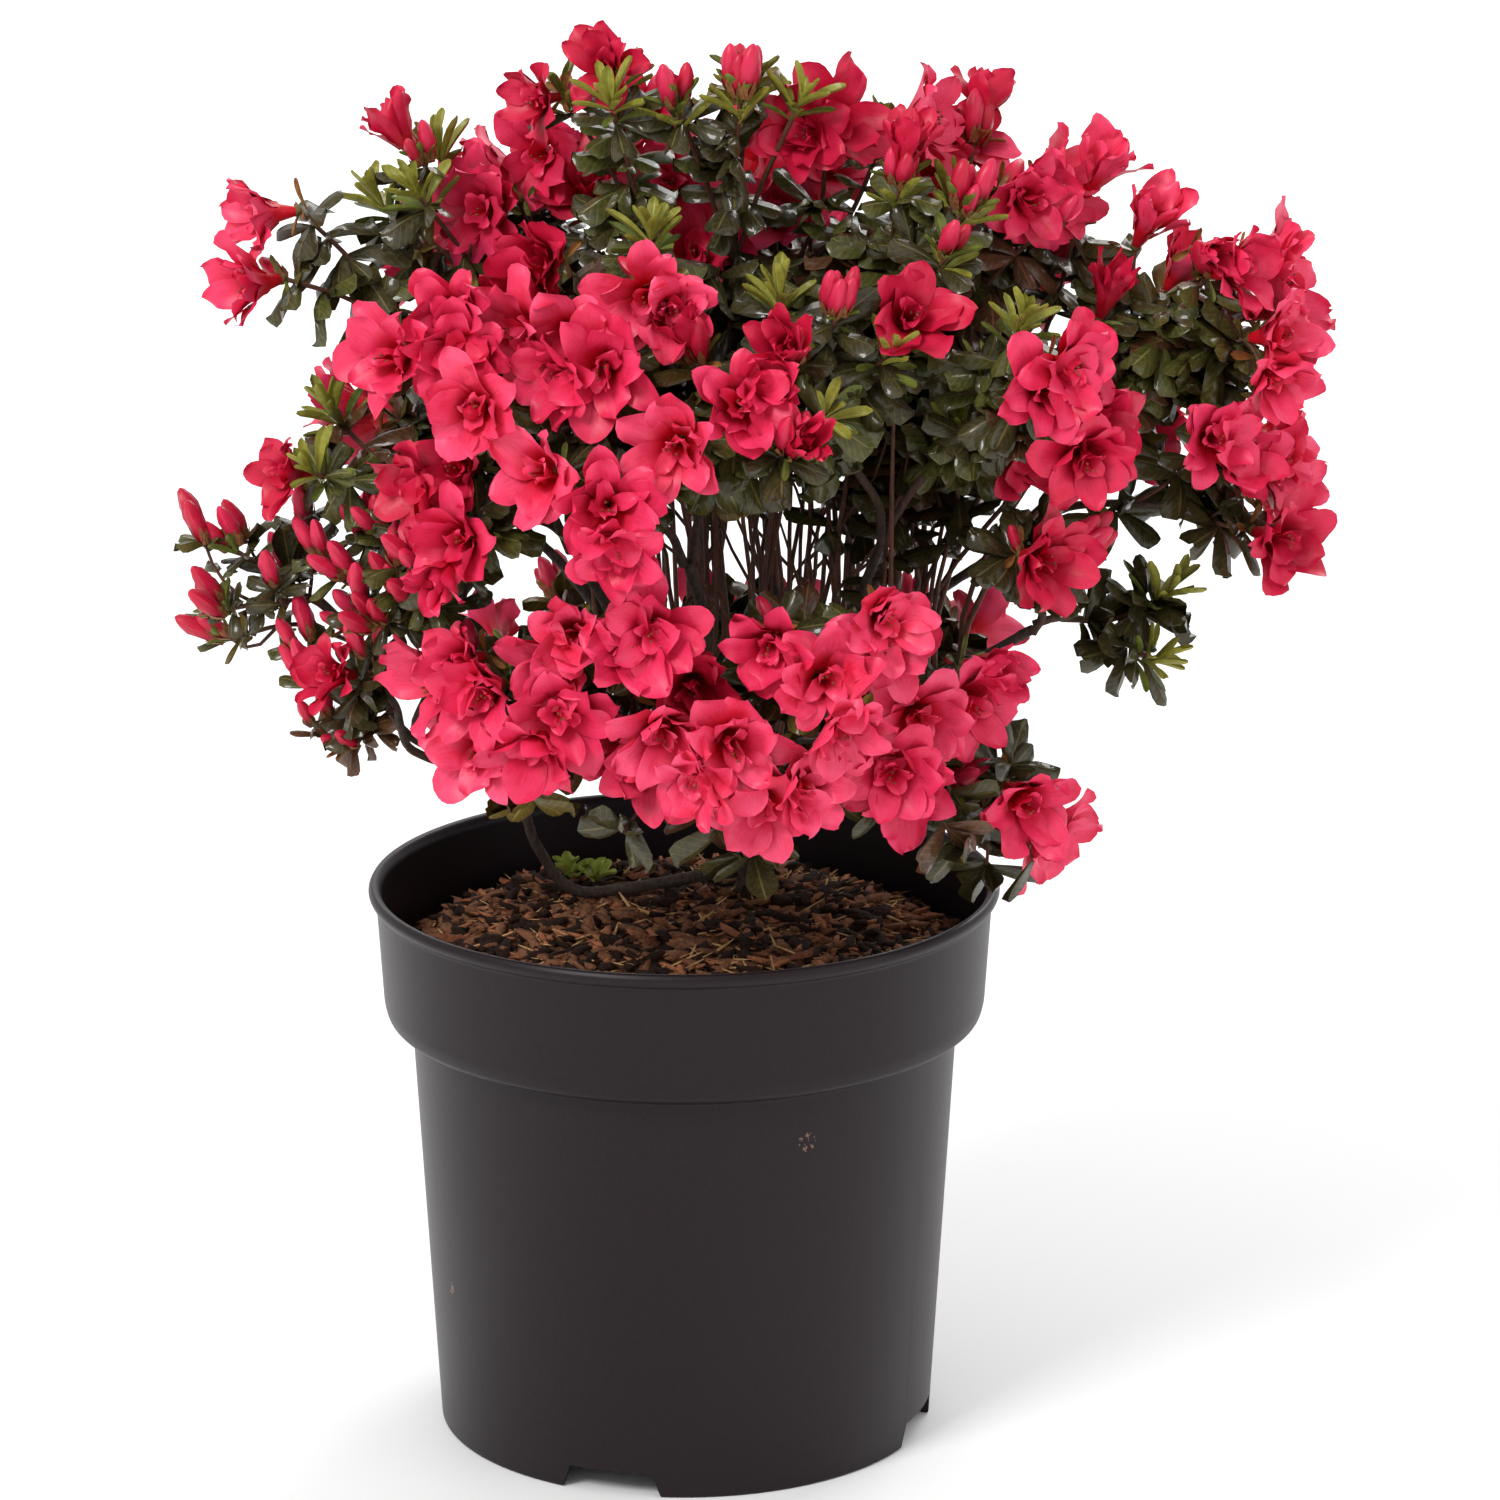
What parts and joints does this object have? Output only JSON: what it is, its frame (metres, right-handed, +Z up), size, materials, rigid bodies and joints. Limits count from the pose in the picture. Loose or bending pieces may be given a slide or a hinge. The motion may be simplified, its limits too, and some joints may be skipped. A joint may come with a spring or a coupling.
{
  "type": "potted azalea shrub",
  "caption": "Small evergreen azalea shrub in full double pink bloom, with a short forked trunk, spreading boughs and dark leaves, in a round tapered nursery pot filled with potting mix.",
  "frame": {"origin": "centre of the flat underside of the pot", "axes": "+Z up; +X to the right and -Y to the front of the plant as it is usually shown"},
  "size_m": [0.4188, 0.3194, 0.5227],
  "materials": {
    "pot": "moulded, satin",
    "soil": "moist, crumbly",
    "bark": "rough",
    "foliage": "glossy leaf",
    "bloom": "satin petal"
  },
  "bodies": {
    "root": {"pot": "pot", "soil": "soil", "trunk": "bark", "bough_low_side": "bark", "bough_left_low": "bark", "bough_left_high": "bark", "bough_left_front": "bark", "bough_front": "bark", "bough_right_front": "bark", "bough_front_low": "bark", "bough_front_right_low": "bark", "bough_right_arch": "bark", "bough_left_back": "bark", "bough_centre": "bark", "bough_back_low": "bark", "bough_back": "bark", "bough_right": "bark", "bough_right_high": "bark", "bough_right_back": "bark", "mass_far_left_bloom": "bloom", "mass_left_green": "foliage", "mass_left_side": "foliage", "mass_left_front": "bloom", "mass_left_upper": "bloom", "mass_left_low_mid": "bloom", "mass_left_mid": "bloom", "mass_centre_front": "bloom", "mass_left_back": "bloom", "mass_top_left_spire": "bloom", "mass_bud_spire": "bloom", "mass_top_right": "bloom", "mass_top_back": "bloom", "mass_right_shoulder": "bloom", "mass_right_front_spire": "bloom", "mass_right_inner": "foliage", "mass_centre_green": "foliage", "mass_right_front": "bloom", "mass_right_low_half": "bloom", "mass_right_hang": "foliage", "mass_far_right_mid": "bloom", "mass_far_right_upper": "bloom", "mass_left_bud": "bloom", "mass_far_left_bud": "bloom", "mass_far_left_low": "bloom", "mass_skirt_far_left": "bloom", "mass_skirt_left": "bloom", "mass_skirt_mid": "bloom", "mass_skirt_centre": "bloom", "mass_skirt_right": "bloom", "mass_skirt_far_right": "bloom", "mass_back_low_1": "bloom", "mass_back_low_2": "bloom", "mass_back_low_3": "bloom", "mass_back_middle_1": "bloom", "mass_back_middle_2": "bloom", "mass_back_middle_3": "bloom", "mass_back_upper_1": "bloom", "mass_back_upper_2": "bloom", "mass_back_upper_3": "bloom"}
  },
  "joints": []
}
